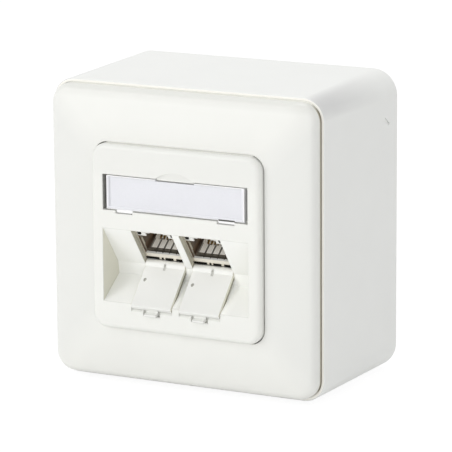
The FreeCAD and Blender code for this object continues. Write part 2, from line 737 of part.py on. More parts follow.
def make_label_window():
    """The clear cover of the label, with end ribs behind it and two tabs below."""
    thick = COVER_THICK
    body = block(-COVER_HALF, COVER_HALF, COVER_FRONT, COVER_BACK, COVER_AXIS.z, COVER_HIGH)
    heel = rod(thick / 2, COVER_AXIS - V(COVER_HALF, 0, 0), COVER_AXIS + V(COVER_HALF, 0, 0))
    body = body.fuse(heel)
    cut_half = DISH_WIDTH / 2 + COVER_TOP_GAP
    cut_low = LABEL_HIGH - TONGUE_DROP - COVER_TOP_GAP
    body = body.cut(block(-cut_half, cut_half, COVER_FRONT - PAST, COVER_BACK + PAST,
                          cut_low, LABEL_HIGH))
    extras = []
    tab_low = LABEL_LOW - NOTCH_DEPTH + COVER_LOW_GAP
    tab_half = NOTCH_WIDTH / 2 - COVER_LOW_GAP
    for turn in (-1, 1):
        ends = sorted((turn * COVER_HALF, turn * (COVER_HALF - COVER_RIB)))
        extras.append(block(ends[0], ends[1], COVER_BACK, COVER_BACK + COVER_RIB_DEPTH,
                            COVER_AXIS.z, COVER_HIGH - COVER_RIB))
        spot = turn * NOTCH_PLACE
        extras.append(block(spot - tab_half, spot + tab_half, COVER_AXIS.y - TAB_THICK / 2,
                            COVER_AXIS.y + TAB_THICK / 2, tab_low, COVER_AXIS.z))
    return body.fuse(extras).removeSplitter()


def make_label_strip():
    """The paper strip behind the clear cover."""
    half = COVER_HALF - COVER_RIB - STRIP_END_GAP
    return block(-half, half, COVER_BACK, COVER_BACK + STRIP_THICK,
                 COVER_AXIS.z + STRIP_LOW_GAP, COVER_HIGH - COVER_RIB)


def make_plate_screws():
    """Two countersunk screws under the label that hold the plate to the carrier."""
    screws = []
    for turn in (-1, 1):
        head = V(turn * PLATE_SCREW_X, TRAY_FLOOR, PLATE_SCREW_Z)
        cone = Part.makeCone(PLATE_HEAD_RADIUS, PLATE_SCREW_RADIUS, PLATE_HEAD_DEPTH, head, V(0, 1, 0))
        shank = rod(PLATE_SCREW_RADIUS, head, V(head.x, RING_BACK + CARRIER_WALL, head.z))
        slot = cross_slot(head, PLATE_HEAD_RADIUS, PLATE_SLOT_DEPTH)
        screws.append(cone.fuse(shank).cut(slot).removeSplitter())
    return Part.makeCompound(screws)


def cross_slot(head, radius, depth):
    """Two crossed driver slots in the front of a screw head."""
    reach = radius * CROSS_REACH
    wide = radius * CROSS_WIDTH
    one = block(head.x - reach, head.x + reach, head.y - PAST, head.y + depth,
                head.z - wide, head.z + wide)
    other = block(head.x - wide, head.x + wide, head.y - PAST, head.y + depth,
                  head.z - reach, head.z + reach)
    return one.fuse(other)


def make_support_frame():
    """The stamped metal ring on the 60 mm screws, with lugs for the plate and carrier."""
    half = RING_WIDTH / 2
    tall = RING_TALL / 2
    flat = half - RING_CHAMFER
    upright = tall - RING_CHAMFER
    corners = [
        (flat, tall), (-flat, tall), (-half, upright), (-half, -upright),
        (-flat, -tall), (flat, -tall), (half, -upright), (half, upright),
    ]
    spots = [V(x, RING_FRONT, z) for x, z in corners]
    body = Part.Face(Part.makePolygon(spots + spots[:1])).extrude(V(0, RING_THICK, 0))
    hole = rounded_block(RING_OPENING, RING_OPENING, RING_CORNER, RING_FRONT - PAST, RING_BACK + PAST)
    body = body.cut(hole)
    edge = RING_OPENING / 2 + PAST
    lugs = []
    for turn in (-1, 1):
        ends = sorted((turn * LUG_TIP, turn * edge))
        lugs.append(block(ends[0], ends[1], RING_FRONT, RING_BACK,
                          PLATE_SCREW_Z - LUG_HALF, PLATE_SCREW_Z + LUG_HALF))
        low = sorted((turn * LOW_LUG_IN, turn * LOW_LUG_OUT))
        lugs.append(block(low[0], low[1], RING_FRONT, RING_BACK, -edge,
                          PAST - edge + LOW_LUG_RISE))
    body = body.fuse(lugs)
    cuts = []
    slot_gap = (SCREW_SLOT_LENGTH - SCREW_SLOT_WIDTH) / 2
    pitch = SCREW_PITCH / 2
    for turn in (-1, 1):
        standing = obround(SCREW_SLOT_WIDTH / 2, slot_gap, RING_FRONT - PAST, RING_BACK + PAST)
        standing.translate(V(turn * pitch, 0, 0))
        lying = obround(SCREW_SLOT_WIDTH / 2, slot_gap, RING_FRONT - PAST, RING_BACK + PAST)
        lying.rotate(V(0, 0, 0), V(0, 1, 0), 90)
        lying.translate(V(0, 0, turn * pitch))
        cuts.extend([standing, lying])
        through = V(0, RING_THICK + 2 * PAST, 0)
        spot = V(turn * PLATE_SCREW_X, RING_FRONT - PAST, PLATE_SCREW_Z)
        cuts.append(rod(PLATE_SCREW_RADIUS + SCREW_CLEARANCE, spot, spot + through))
        spot = V(turn * CARRIER_SCREW_X, RING_FRONT - PAST, LOW_FLANGE_Z)
        cuts.append(rod(CARRIER_SCREW_RADIUS + SCREW_CLEARANCE, spot, spot + through))
    return body.cut(cuts).removeSplitter()


def obround(radius, reach, y0, y1):
    """An upright slot with round ends."""
    middle = block(-radius, radius, y0, y1, -reach, reach)
    ends = [rod(radius, V(0, y0, z), V(0, y1, z)) for z in (-reach, reach)]
    return middle.fuse(ends).removeSplitter()


def make_box_screws():
    """Two pan head screws that hold the support frame to the box."""
    screws = []
    for turn in (-1, 1):
        seat = V(turn * SCREW_PITCH / 2, RING_FRONT, 0)
        head = Part.makeCylinder(BOX_HEAD_RADIUS, BOX_HEAD_THICK, seat, V(0, -1, 0))
        head = softened(head, BOX_HEAD_ROUND, lambda e: e.BoundBox.YMax < seat.y - SAME)
        shank = rod(BOX_SCREW_RADIUS, seat, V(seat.x, RING_BACK + BOX_SCREW_LENGTH, 0))
        slot = cross_slot(seat - V(0, BOX_HEAD_THICK, 0), BOX_HEAD_RADIUS, BOX_SLOT_DEPTH)
        screws.append(head.fuse(shank).cut(slot).removeSplitter())
    return Part.makeCompound(screws)


def make_carrier_screws():
    """Two small screws that hold the carrier's lower flanges to the ring."""
    screws = []
    for turn in (-1, 1):
        seat = V(turn * CARRIER_SCREW_X, RING_FRONT, LOW_FLANGE_Z)
        head = Part.makeCylinder(CARRIER_HEAD_RADIUS, CARRIER_HEAD_THICK, seat, V(0, -1, 0))
        shank = rod(CARRIER_SCREW_RADIUS, seat, V(seat.x, RING_BACK + CARRIER_WALL, seat.z))
        slot = cross_slot(seat - V(0, CARRIER_HEAD_THICK, 0), CARRIER_HEAD_RADIUS,
                          CARRIER_SLOT_DEPTH)
        screws.append(head.fuse(shank).cut(slot).removeSplitter())
    return Part.makeCompound(screws)


def jack_point(along, up):
    """The (y, z) place of a point given along and across the socket's axis."""
    spot = JACK_ORIGIN + ALONG * along - DOWN * up
    return (spot.y, spot.z)


def make_module_carrier():
    """The bracket that holds both sockets at the slant of the port face."""
    start = STOP_START + STOP_THICK
    end = start + CARRIER_WALL
    half = CHEEK_IN + CHEEK_THICK
    plate = block(-half, half, start, end, -CARRIER_BOTTOM, CARRIER_TOP)
    room = PORT_PITCH / 2 + BODY_WIDTH / 2 + JACK_FIT
    high = BODY_HEIGHT / 2 + JACK_FIT
    plate = in_jack(plate.cut(block(-room, room, start - PAST, end + PAST, -high, high)), 0)
    back = RING_BACK + CARRIER_WALL
    flange_top = PLATE_SCREW_Z + FLANGE_HALF
    flange_low = LOW_FLANGE_Z - FLANGE_HALF
    up_at_ring = (jack_point(start, 0)[0] - RING_BACK) / math.sin(TILT)
    outline = [
        jack_point(start, CARRIER_TOP), (RING_BACK, flange_top), (back, flange_top),
        jack_point(end, -CARRIER_BOTTOM), jack_point(start, -CARRIER_BOTTOM),
        (back, flange_low), (RING_BACK, flange_low), jack_point(start, up_at_ring),
    ]
    parts = [plate]
    screw = PLATE_SCREW_X + PLATE_POST + EAR_EDGE
    for turn in (-1, 1):
        ends = sorted((turn * CHEEK_IN, turn * half))
        parts.append(side_profile(outline, ends[0], ends[1]))
        ends = sorted((turn * CHEEK_IN, turn * screw))
        parts.append(block(ends[0], ends[1], RING_BACK, back,
                           PLATE_SCREW_Z - FLANGE_HALF, flange_top))
        ends = sorted((turn * CHEEK_IN, turn * FLANGE_OUT))
        parts.append(block(ends[0], ends[1], RING_BACK, back,
                           flange_low, LOW_FLANGE_Z + FLANGE_HALF))
    body = parts[0].fuse(parts[1:])
    cuts = []
    for turn in (-1, 1):
        through = V(0, CARRIER_WALL + 2 * PAST, 0)
        spot = V(turn * PLATE_SCREW_X, RING_BACK - PAST, PLATE_SCREW_Z)
        cuts.append(rod(PLATE_SCREW_RADIUS, spot, spot + through))
        spot = V(turn * CARRIER_SCREW_X, RING_BACK - PAST, LOW_FLANGE_Z)
        cuts.append(rod(CARRIER_SCREW_RADIUS, spot, spot + through))
    return body.cut(cuts).removeSplitter()


def jack_box(width, height, start, end):
    """A block centred on the socket's axis."""
    return block(-width / 2, width / 2, start, end, -height / 2, height / 2)


def make_jack_housing(centre_x):
    """The die-cast shell: a thin nose, a stop flange and the body behind the carrier."""
    nose = jack_box(NOSE_WIDTH, NOSE_HEIGHT, 0, NOSE_LENGTH + PAST)
    nose = softened(nose, NOSE_ROUND, lambda e: e.BoundBox.YLength > NOSE_LENGTH)
    neck = jack_box(BODY_WIDTH, BODY_HEIGHT, NOSE_LENGTH, BODY_LENGTH)
    stop = jack_box(BODY_WIDTH, STOP_HEIGHT, STOP_START, STOP_START + STOP_THICK)
    rib_start = STOP_START + STOP_THICK + CARRIER_WALL + JACK_FIT
    top = BODY_HEIGHT / 2
    catch = [
        (rib_start, top - CATCH_ROOT), (rib_start, top + CATCH_RISE),
        (rib_start + CATCH_LENGTH, top - CATCH_ROOT),
    ]
    catches = [side_profile(catch, -CATCH_HALF, CATCH_HALF)]
    catches.append(side_profile([(y, -z) for y, z in catch], -CATCH_HALF, CATCH_HALF))
    body = nose.fuse([neck, stop] + catches)
    room = jack_box(BODY_WIDTH - 2 * BODY_WALL, BODY_HEIGHT - 2 * BODY_WALL,
                    NOSE_LENGTH + BODY_WALL, BODY_LENGTH + PAST)
    bore = jack_box(NOSE_WIDTH - 2 * NOSE_WALL, NOSE_HEIGHT - 2 * NOSE_WALL,
                    -PAST, NOSE_LENGTH + 2 * PAST)
    body = body.cut([room, bore])
    catch_start = BODY_LENGTH - ARM_LENGTH - JACK_FIT
    catch_half = ARM_HALF + 2 * JACK_FIT
    cap_catch = block(-BODY_WIDTH, BODY_WIDTH, catch_start, catch_start + ARM_STEP + 2 * JACK_FIT,
                      -catch_half, catch_half)
    body = body.cut(cap_catch)
    return in_jack(body.removeSplitter(), centre_x)


def contact_places():
    """The X places of the eight contacts, in the socket's frame."""
    first = -(CONTACTS - 1) / 2 * CONTACT_PITCH
    return [first + index * CONTACT_PITCH for index in range(CONTACTS)]


def make_jack_insert(centre_x):
    """The moulded insert: latch notches, plug cavity, front shelf, trench and contact comb."""
    width = NOSE_WIDTH - 2 * NOSE_WALL - JACK_FIT
    height = NOSE_HEIGHT - 2 * NOSE_WALL - JACK_FIT
    half = width / 2
    body = jack_box(width, height, INSERT_SET_BACK, INSERT_LENGTH)
    cuts = [block(-half - PAST, half + PAST, -PAST, CAVITY_DEPTH, CAVITY_FLOOR, CAVITY_TOP)]
    cuts.append(block(-WIDE_NOTCH / 2, WIDE_NOTCH / 2, -PAST, CAVITY_DEPTH - NOTCH_END,
                      CAVITY_TOP - PAST, WIDE_NOTCH_TOP))
    cuts.append(block(-LATCH_NOTCH / 2, LATCH_NOTCH / 2, -PAST, CAVITY_DEPTH - NOTCH_END,
                      WIDE_NOTCH_TOP - PAST, LATCH_NOTCH_TOP))
    for turn in (-1, 1):
        spot = turn * EYE_PLACE
        cuts.append(block(spot - EYE_WIDTH / 2, spot + EYE_WIDTH / 2, -PAST, EYE_DEPTH,
                          EYE_RISE - EYE_HEIGHT / 2, EYE_RISE + EYE_HEIGHT / 2))
    cuts.append(block(-half - PAST, half + PAST, -PAST, COMB_START, SHELF_TOP, CAVITY_FLOOR + PAST))
    cuts.append(block(-TRENCH_HALF, TRENCH_HALF, INSERT_SET_BACK + SHELF_DEPTH, COMB_START,
                      TRENCH_FLOOR, SHELF_TOP + PAST))
    for index, place in enumerate(contact_places()):
        if index % 2 == 0:
            line = place + CONTACT_PITCH / 2
            cuts.append(block(line - COMB_LINE / 2, line + COMB_LINE / 2, COMB_START - PAST,
                              GROOVE_START, CAVITY_FLOOR - COMB_LINE_DEPTH, CAVITY_FLOOR + PAST))
        low = place - GROOVE_WIDTH / 2
        high = place + GROOVE_WIDTH / 2
        cuts.append(block(low, high, GROOVE_START, INSERT_LENGTH + PAST,
                          CAVITY_FLOOR - GROOVE_DEPTH, CAVITY_FLOOR + PAST / 2))
        cuts.append(block(low, high, CAVITY_DEPTH - PAST, CAVITY_DEPTH + COMB_BACK,
                          CAVITY_FLOOR - PAST, COMB_TOP))
    return in_jack(body.cut(cuts).removeSplitter(), centre_x)


def make_contacts(centre_x):
    """Eight gold wires: forward under the comb, round a bend and back up into the cavity."""
    low = CAVITY_FLOOR - GROOVE_DEPTH + CONTACT_THICK / 2 + CONTACT_FLOAT
    high = low + CONTACT_RISE
    nose = CONTACT_NOSE
    line = [
        (BOARD_START, low), (nose + CONTACT_BEND, low), (nose, low + CONTACT_THICK),
        (nose, high - CONTACT_THICK), (nose + CONTACT_BEND, high),
        (CONTACT_END - CONTACT_FLAT, CONTACT_TOP), (CONTACT_END, CONTACT_TOP),
    ]
    wires = []
    for place in contact_places():
        wires.append(strip(line, CONTACT_THICK, place - CONTACT_WIDTH / 2, place + CONTACT_WIDTH / 2))
    return in_jack(Part.makeCompound(wires), centre_x)


def make_circuit_board(centre_x):
    """The small board between the contacts and the wire terminals."""
    fit = 2 * (BODY_WALL + JACK_FIT)
    board = jack_box(BODY_WIDTH - fit, BODY_HEIGHT - fit, BOARD_START, BOARD_START + BOARD_THICK)
    return in_jack(board, centre_x)


def blade_places():
    """The (x, up) places of the wire terminals: two rows of four."""
    places = []
    for row in (-BLADE_ROW, BLADE_ROW):
        for index in range(CONTACTS // 2):
            places.append(((index - (CONTACTS / 2 - 1) / 2) * BLADE_PITCH, row))
    return places


def make_terminal_block(centre_x):
    """The plastic block that holds the terminal blades."""
    fit = 2 * (BODY_WALL + JACK_FIT)
    body = jack_box(BODY_WIDTH - fit, BODY_HEIGHT - fit, BLOCK_START, BLOCK_END)
    cuts = []
    for x, up in blade_places():
        cuts.append(block(x - BLADE_THICK / 2, x + BLADE_THICK / 2, BLOCK_START - PAST,
                          BLOCK_END + PAST, up - BLADE_WIDTH / 2, up + BLADE_WIDTH / 2))
    inside = BODY_WIDTH / 2 - BODY_WALL - JACK_FIT - ARM_THICK - JACK_FIT
    for turn in (-1, 1):
        ends = sorted((turn * inside, turn * BODY_WIDTH))
        cuts.append(block(ends[0], ends[1], BODY_LENGTH - ARM_LENGTH - JACK_FIT,
                          BLOCK_END + PAST, -ARM_HALF - JACK_FIT, ARM_HALF + JACK_FIT))
    return in_jack(body.cut(cuts).removeSplitter(), centre_x)


def make_terminal_blades(centre_x):
    """Eight forked blades that cut into the wires."""
    tip = BLOCK_END + BLADE_STAND
    narrow = BLADE_SLOT / 4
    blades = []
    for x, up in blade_places():
        blade = block(x - BLADE_THICK / 2, x + BLADE_THICK / 2, BLOCK_START, tip,
                      up - BLADE_WIDTH / 2, up + BLADE_WIDTH / 2)
        mouth = [
            (tip - BLADE_MOUTH, up - narrow), (tip - BLADE_LEAD, up - narrow),
            (tip, up - BLADE_SLOT), (tip + PAST, up - BLADE_SLOT),
            (tip + PAST, up + BLADE_SLOT), (tip, up + BLADE_SLOT),
            (tip - BLADE_LEAD, up + narrow), (tip - BLADE_MOUTH, up + narrow),
        ]
        blades.append(blade.cut(side_profile(mouth, x - PAST, x + PAST)))
    return in_jack(Part.makeCompound(blades), centre_x)


def make_wire_cap(centre_x):
    """The rear cap with the cable slot, clipped over the terminals."""
    start = BODY_LENGTH
    end = start + CAP_LENGTH
    body = jack_box(BODY_WIDTH, BODY_HEIGHT, start, end)
    body = softened(body, CAP_ROUND, lambda e: e.BoundBox.YMin > end - SAME)
    room = jack_box(BODY_WIDTH - 2 * CAP_WALL, BODY_HEIGHT - 2 * CAP_WALL,
                    start - PAST, end - CAP_WALL)
    slot = obround(CABLE_SLOT_HEIGHT / 2, (CABLE_SLOT_WIDTH - CABLE_SLOT_HEIGHT) / 2,
                   start, end + PAST)
    slot.rotate(V(0, 0, 0), V(0, 1, 0), 90)
    body = body.cut([room, slot])
    inside = BODY_WIDTH / 2 - BODY_WALL - JACK_FIT
    arms = []
    for turn in (-1, 1):
        ends = sorted((turn * inside, turn * (inside - ARM_THICK)))
        arms.append(block(ends[0], ends[1], start - ARM_LENGTH, start + ARM_ROOT,
                          -ARM_HALF, ARM_HALF))
        ends = sorted((turn * (inside - ARM_BARB / 2), turn * (inside + ARM_BARB)))
        arms.append(block(ends[0], ends[1], start - ARM_LENGTH, start - ARM_LENGTH + ARM_STEP,
                          -ARM_HALF, ARM_HALF))
    return in_jack(body.fuse(arms).removeSplitter(), centre_x)


def make_shield_springs(centre_x):
    """Two leaf springs inside the nose that touch a plug's screen."""
    wall = NOSE_WIDTH / 2 - NOSE_WALL
    springs = []
    for turn in (-1, 1):
        outer = wall - SPRING_THICK / 2
        line = [
            (turn * outer, SPRING_START), (turn * outer, SPRING_START + SPRING_FLAT),
            (turn * (outer - SPRING_BULGE), SPRING_CREST),
            (turn * outer, SPRING_END - SPRING_FOOT), (turn * outer, SPRING_END),
        ]
        one = offset_line(line, SPRING_THICK / 2)
        other = offset_line(line, -SPRING_THICK / 2)
        springs.append(top_profile(one + other[::-1], -SPRING_WIDTH / 2, SPRING_WIDTH / 2))
    return in_jack(Part.makeCompound(springs), centre_x)


JACK_PARTS = {
    "jack_housing": make_jack_housing,
    "jack_insert": make_jack_insert,
    "contact_wires": make_contacts,
    "circuit_board": make_circuit_board,
    "terminal_block": make_terminal_block,
    "terminal_blades": make_terminal_blades,
    "wire_cap": make_wire_cap,
    "shield_springs": make_shield_springs,
    "dust_flap": make_flap,
}

nodes = {
    "surface_box": make_surface_box(),
    "cover_frame": make_cover_frame(),
    "centre_plate": make_centre_plate(),
    "label_window": make_label_window(),
    "label_strip": make_label_strip(),
    "plate_screws": make_plate_screws(),
    "support_frame": make_support_frame(),
    "box_screws": make_box_screws(),
    "module_carrier": make_module_carrier(),
    "carrier_screws": make_carrier_screws(),
}
for side, place in PORTS.items():
    for name, make in JACK_PARTS.items():
        nodes[side + "_" + name] = make(place)

os.makedirs("parts", exist_ok=True)
for name, shape in nodes.items():
    shape.exportStep("parts/" + name + ".step")
    print(name, "valid", shape.isValid(), "solids", len(shape.Solids), "volume", round(shape.Volume, 1))
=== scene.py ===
import math

import bpy
from mathutils import Matrix, Vector


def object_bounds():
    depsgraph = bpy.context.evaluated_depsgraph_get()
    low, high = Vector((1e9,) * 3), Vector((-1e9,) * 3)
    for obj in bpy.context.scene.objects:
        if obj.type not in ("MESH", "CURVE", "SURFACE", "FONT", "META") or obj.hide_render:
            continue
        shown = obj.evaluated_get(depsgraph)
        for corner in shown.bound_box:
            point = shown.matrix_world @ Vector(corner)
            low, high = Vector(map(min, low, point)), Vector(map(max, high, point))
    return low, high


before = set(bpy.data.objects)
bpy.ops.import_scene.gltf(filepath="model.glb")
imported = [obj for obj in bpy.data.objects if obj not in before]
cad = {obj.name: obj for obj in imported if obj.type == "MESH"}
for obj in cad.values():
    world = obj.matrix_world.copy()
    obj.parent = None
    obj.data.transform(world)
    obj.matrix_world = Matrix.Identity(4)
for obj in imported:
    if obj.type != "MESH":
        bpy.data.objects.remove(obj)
cad_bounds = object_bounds()
bpy.context.scene.view_settings.view_transform = "Standard"


# The view: a long lens on a tripod, to the right of the box and a little above it, so that the
# front, the right side and the top all show. It aims near the middle of the box's rim.
MM = 0.001
AROUND = math.radians(27.356)
ABOVE = math.radians(12.728)
LEAN = math.radians(-0.416)
AWAY = 846.69 * MM
AIM_RIGHT = 10.10 * MM
AIM_UP = 3.27 * MM
RIM_OUT = 43.5 * MM
SENSOR = 36.0
IMAGE_SIDE = 452
FOCAL_PIXELS = 3205.45

back = Vector((
    math.sin(AROUND) * math.cos(ABOVE), -math.cos(AROUND) * math.cos(ABOVE), math.sin(ABOVE)))
level_right = Vector((0, 0, 1)).cross(back).normalized()
level_up = back.cross(level_right)
view_right = level_right * math.cos(LEAN) + level_up * math.sin(LEAN)
view_up = level_up * math.cos(LEAN) - level_right * math.sin(LEAN)
aim = Vector((0, -RIM_OUT, 0)) + view_right * AIM_RIGHT + view_up * AIM_UP

lens = bpy.data.cameras.new("lens")
lens.sensor_width = SENSOR
lens.lens = FOCAL_PIXELS * SENSOR / IMAGE_SIDE
lens.clip_start = 10 * MM
camera = bpy.data.objects.new("camera", lens)
bpy.context.scene.collection.objects.link(camera)
camera.matrix_world = Matrix.Translation(aim + back * AWAY) @ Matrix(
    (view_right, view_up, back)).transposed().to_4x4()
bpy.context.scene.camera = camera


# The light: the main soft box high to the left and a weaker one low to the left, one beside the
# camera that reaches into the sockets, and one over and behind the box for its top.
def soft_box(name, place, side, watts):
    lamp = bpy.data.lights.new(name, "AREA")
    lamp.shape = "SQUARE"
    lamp.size = side
    lamp.energy = watts
    holder = bpy.data.objects.new(name, lamp)
    bpy.context.scene.collection.objects.link(holder)
    towards = Vector((0, -RIM_OUT / 2, 0)) - Vector(place)
    turn = towards.to_track_quat("-Z", "Y").to_matrix().to_4x4()
    holder.matrix_world = Matrix.Translation(place) @ turn


soft_box("left_soft_box", place=(-1.1, -1.3, 0.9), side=0.9, watts=8.0)
soft_box("low_left_soft_box", place=(-0.7, -1.2, 0.1), side=0.4, watts=1.2)
soft_box("camera_soft_box", place=(0.72, -1.38, 0.36), side=0.5, watts=3.0)
soft_box("top_soft_box", place=(-0.1, 0.5, 1.8), side=0.8, watts=9.5)


# Every finish is a tree of nodes. A wire is one output in that tree: sums and products with it
# add the Math nodes, and any other node comes from its method named node.
class Wire:
    def __init__(self, tree, socket=None):
        self.tree = tree
        self.socket = socket

    def node(self, kind, settings=None, sockets=None, output=0):
        made = self.tree.nodes.new(kind)
        for name, value in (settings or {}).items():
            setattr(made, name, value)
        for name, value in (sockets or {}).items():
            if isinstance(value, Wire):
                self.tree.links.new(value.socket, made.inputs[name])
            else:
                made.inputs[name].default_value = value
        return Wire(self.tree, made.outputs[output]) if len(made.outputs) else None

    def calculate(self, operation, first, second):
        return self.node("ShaderNodeMath", {"operation": operation}, {0: first, 1: second})

    def __add__(self, other):
        return self.calculate("ADD", self, other)

    def __radd__(self, other):
        return self.calculate("ADD", other, self)

    def __sub__(self, other):
        return self.calculate("SUBTRACT", self, other)

    def __rsub__(self, other):
        return self.calculate("SUBTRACT", other, self)

    def __mul__(self, other):
        return self.calculate("MULTIPLY", self, other)

    def __rmul__(self, other):
        return self.calculate("MULTIPLY", other, self)

    def absolute(self):
        return self.calculate("ABSOLUTE", self, 0.0)

    def sign(self):
        return self.calculate("SIGN", self, 0.0)

    def root(self):
        return self.calculate("SQRT", self, 0.0)

    def folded(self, pitch):
        return self.calculate("PINGPONG", self, pitch)

    def at_least(self, level):
        return self.calculate("MAXIMUM", self, level)

    def above(self, level):
        return self.calculate("GREATER_THAN", self, level)

    def below(self, level):
        return self.calculate("LESS_THAN", self, level)

    def near(self, middle, reach):
        return (self - middle).absolute().below(reach)

    def either(self, other):
        return self.at_least(other)

    def position(self):
        place = self.node("ShaderNodeTexCoord", output="Object")
        return [self.node("ShaderNodeSeparateXYZ", None, {"Vector": place}, part) for part in range(3)]


# The white studio: a pale floor under the box and a white wall of light behind it. Seen straight
# on they are white, and the floor still takes the box's soft shadow.
FLOOR_SIDE = 8.0
FLOOR_GAP = 0.05 * MM
FLOOR_WHITE = (0.92, 0.92, 0.92, 1.0)
FLOOR_GLOW = 0.85
FLOOR_STRENGTH = 1.08
ROOM_WHITE = (1.0, 1.0, 1.0, 1.0)
ROOM_LIGHT = 0.64


def seen_directly(start):
    path = {name: start.node("ShaderNodeLightPath", output=name)
            for name in ("Is Camera Ray", "Is Glossy Ray", "Is Transmission Ray")}
    return start.node("ShaderNodeClamp", None, {
        "Value": path["Is Camera Ray"] + path["Is Glossy Ray"] + path["Is Transmission Ray"]})


floor_low = cad_bounds[0][2] - FLOOR_GAP
half_floor = FLOOR_SIDE / 2
floor_mesh = bpy.data.meshes.new("floor")
floor_mesh.from_pydata(
    [(x * half_floor, y * half_floor, floor_low) for x, y in ((-1, -1), (1, -1), (1, 1), (-1, 1))],
    [], [(0, 1, 2, 3)])
floor = bpy.data.objects.new("floor", floor_mesh)
bpy.context.scene.collection.objects.link(floor)
floor_look = bpy.data.materials.new("floor_white")
floor_look.use_nodes = True
floor_look.node_tree.nodes.clear()
start = Wire(floor_look.node_tree)
matt = start.node("ShaderNodeBsdfDiffuse", None, {"Color": FLOOR_WHITE})
glow = start.node("ShaderNodeEmission", None, {"Strength": FLOOR_STRENGTH})
both = start.node("ShaderNodeMixShader", None, {0: seen_directly(start) * FLOOR_GLOW, 1: matt, 2: glow})
start.node("ShaderNodeOutputMaterial", None, {"Surface": both})
floor_mesh.materials.append(floor_look)

world = bpy.data.worlds.new("studio")
bpy.context.scene.world = world
world.use_nodes = True
world.node_tree.nodes.clear()
start = Wire(world.node_tree)
level = seen_directly(start) * (1.0 - ROOM_LIGHT) + ROOM_LIGHT
light = start.node("ShaderNodeBackground", None, {"Color": ROOM_WHITE, "Strength": level})
start.node("ShaderNodeOutputWorld", None, {"Surface": light})


# The surface box: one deep white moulding, screwed to the wall and open in front. Its faces have
# the faint grain of a spark-eroded mould and its edges a small radius. The front of its rim carries
# a painted highlight, and its two upper corners painted shade that deepens towards the front.
BOX_WHITE = (0.826, 0.833, 0.812)
BOX_RIM_HIGHLIGHT = (0.960, 0.945, 0.885)
CORNER_SHADE = (0.660, 0.662, 0.655)
BOX_INNER = (34.0 * MM, 34.4 * MM)
RIM_FRONT = -43.22 * MM
RIM_LINE = 5.78 * MM
CORNER_START = 74.6 * MM
CORNER_MIDDLE = 76.9 * MM
CORNER_BACK = -8.0 * MM
CORNER_FRONT = -36.0 * MM
CLOUD = 0.02
CLOUD_SIZE = 14 * MM
GRAIN_SIZE = 0.22 * MM
GRAIN_DETAIL = 3.0
BUMP_DEPTH = 0.02 * MM
DRIFT_ROUGHNESS = 0.06
FINE_ROUGHNESS = 0.05
EDGE_RADIUS = 0.16 * MM
EDGE_SAMPLES = 6
PLASTIC_IOR = 1.49
BLACK = (0.0, 0.0, 0.0)


def new_finish(name):
    look = bpy.data.materials.new(name)
    look.use_nodes = True
    look.node_tree.nodes.clear()
    return look, Wire(look.node_tree)


def finish_with(start, sockets):
    shader = start.node("ShaderNodeBsdfPrincipled", None, sockets)
    start.node("ShaderNodeOutputMaterial", None, {"Surface": shader})


def noise(start, size, detail=2.0, stretch=(1.0, 1.0, 1.0)):
    place = start.node("ShaderNodeTexCoord", output="Object")
    place = start.node("ShaderNodeVectorMath", {"operation": "MULTIPLY"},
                       {0: place, 1: tuple(part / size for part in stretch)})
    return start.node("ShaderNodeTexNoise", None, {"Vector": place, "Scale": 1.0, "Detail": detail})


def scaled(colour, amount):
    return tuple(part * amount for part in colour)


def tinted(start, mask, first, second):
    first, second = [part if isinstance(part, Wire) else (*part, 1.0) for part in (first, second)]
    return start.node("ShaderNodeMix", {"data_type": "RGBA"}, {0: mask, 6: first, 7: second}, 2)


def clouded(start, drift, colour):
    return tinted(start, drift, scaled(colour, 1.0 - CLOUD), scaled(colour, 1.0 + CLOUD))


def ramp(start, value, low, high):
    return start.node("ShaderNodeMapRange", None, {"Value": value, "From Min": low, "From Max": high})


def past_corner(across, rise, inner):
    """How far a point lies past a rounded square's inner part: sideways, upwards and in all."""
    wide = (across.absolute() - inner[0]).at_least(0.0)
    tall = (rise.absolute() - inner[1]).at_least(0.0)
    return wide, tall, (wide * wide + tall * tall).root()


def soft_edges(start, radius):
    return start.node("ShaderNodeBevel", {"samples": EDGE_SAMPLES}, {"Radius": radius})


def bumped(start, height, strength, edge):
    return start.node("ShaderNodeBump", None, {
        "Strength": strength, "Distance": BUMP_DEPTH, "Height": height,
        "Normal": soft_edges(start, edge)})


def plastic(start, colour, drift, fine, roughness, grain, edge=EDGE_RADIUS, glow=None):
    sockets = {
        "Base Color": colour,
        "Roughness": roughness + drift * DRIFT_ROUGHNESS + fine * FINE_ROUGHNESS,
        "IOR": PLASTIC_IOR,
        "Normal": bumped(start, fine, grain, edge)}
    if glow:
        sockets.update({"Emission Color": glow, "Emission Strength": 1.0})
    finish_with(start, sockets)


def dress(names, look):
    for name in names:
        cad[name].data.materials.clear()
        cad[name].data.materials.append(look)


look, start = new_finish("box_plastic")
across, out, rise = start.position()
drift, fine = noise(start, CLOUD_SIZE), noise(start, GRAIN_SIZE, GRAIN_DETAIL)
_, _, rim_place = past_corner(across, rise, BOX_INNER)
# A painted highlight on the front of the rim.
rim_highlight = out.below(RIM_FRONT) * rim_place.below(RIM_LINE)
# Painted shade at the two upper corners, deepening towards the front.
round_corner = ramp(start, across.absolute() + rise, CORNER_START, CORNER_MIDDLE)
corner = round_corner * ramp(start, out, CORNER_BACK, CORNER_FRONT)
tone = tinted(start, corner, clouded(start, drift, BOX_WHITE), CORNER_SHADE)
tone = tinted(start, rim_highlight, tone, BOX_RIM_HIGHLIGHT)
plastic(start, tone, drift, fine, roughness=0.37, grain=0.10)
dress(["surface_box"], look)
